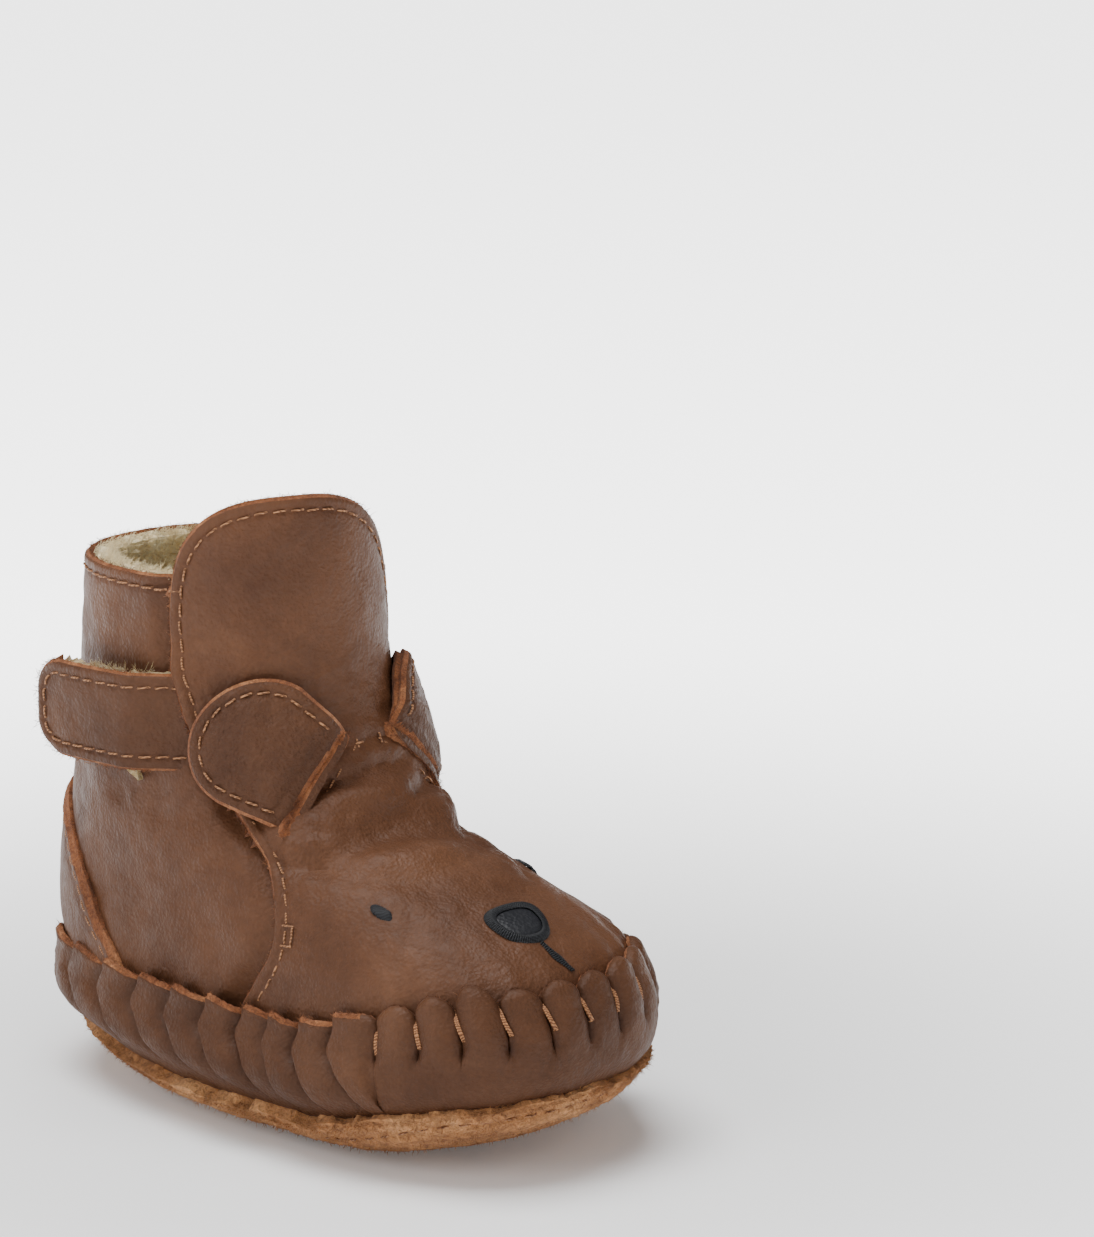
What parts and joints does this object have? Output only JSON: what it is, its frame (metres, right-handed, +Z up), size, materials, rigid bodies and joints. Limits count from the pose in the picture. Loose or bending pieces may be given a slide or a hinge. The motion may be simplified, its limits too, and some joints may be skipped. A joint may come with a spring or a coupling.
{
  "type": "baby bootie",
  "caption": "Soft leather baby bootie with a bear's face: puckered moccasin foot, fleece-lined shaft, tilting tongue with flap ears, side strap and suede sole",
  "frame": {"origin": "on the floor under the foot, on the flat bottom of the outsole", "axes": "+Z up; the toe points along -Y and the heel along +Y; the strap is on the -X side, the wearer's right"},
  "size_m": [0.0651, 0.1197, 0.1052],
  "materials": {
    "outsole_suede": "rough tan suede, napped side out",
    "band_leather": "soft brown leather, gathered into pleats",
    "vamp_leather": "soft brown leather with a fine grain",
    "tongue_leather": "soft brown leather with a fine grain",
    "quarter_leather": "soft brown leather with a fine grain",
    "heel_leather": "soft brown leather with a fine grain",
    "ear_leather": "soft brown leather with a fine grain",
    "ear_suede": "orange-brown raw flesh side",
    "strap_leather": "soft brown leather with a fine grain",
    "nose_leather": "blue-black smooth leather",
    "fleece": "cream short-pile fleece",
    "insole_fleece": "cream short-pile fleece over a soft pad",
    "pile": "khaki loop pile",
    "hook_tape": "khaki hook tape",
    "thread": "light tan sewing thread",
    "cord": "tan waxed cord",
    "dark_thread": "blue-black embroidery thread"
  },
  "bodies": {
    "upper": {"outsole": "outsole_suede", "outsole_thread": "thread", "moccasin_band": "band_leather", "band_cord": "cord", "bottom_lining": "fleece", "insole_pad": "insole_fleece", "vamp": "vamp_leather", "vamp_lining": "fleece", "vamp_thread_right": "thread", "vamp_thread_left": "thread", "bar_tack_right": "thread", "bar_tack_left": "thread", "quarter": "quarter_leather", "quarter_lining": "fleece", "quarter_thread": "thread", "heel_patch": "heel_leather", "heel_patch_thread": "thread", "hook_tape": "hook_tape", "nose": "nose_leather", "nose_thread": "dark_thread", "mouth_thread": "dark_thread", "eye_right": "dark_thread", "eye_left": "dark_thread"},
    "tongue": {"tongue": "tongue_leather", "tongue_lining": "fleece", "tongue_thread": "thread"},
    "strap": {"strap": "strap_leather", "strap_pile": "pile", "strap_thread": "thread"},
    "ear_right": {"ear_right_outer": "ear_leather", "ear_right_inner": "ear_suede", "ear_right_thread": "thread"},
    "ear_left": {"ear_left_outer": "ear_leather", "ear_left_inner": "ear_suede", "ear_left_thread": "thread"}
  },
  "joints": [
    {"name": "tongue_tilt", "type": "hinge", "parent": "upper", "child": "tongue", "pos_m": [-0.004, -0.0306, 0.047], "axis": [1, 0, 0], "range_deg": [0, 35]},
    {"name": "strap_open", "type": "hinge", "parent": "tongue", "child": "strap", "pos_m": [-0.0292, 0.0135, 0.067], "axis": [0, 0, 1], "range_deg": [0, 110]},
    {"name": "ear_right_flap", "type": "hinge", "parent": "tongue", "child": "ear_right", "pos_m": [-0.0166, -0.00824, 0.06056], "axis": [0.449, -0.2437, 0.8597], "range_deg": [0, 45]},
    {"name": "ear_left_flap", "type": "hinge", "parent": "tongue", "child": "ear_left", "pos_m": [0.01169, -0.00865, 0.06001], "axis": [0.4849, 0.2304, -0.8437], "range_deg": [0, 45]}
  ]
}
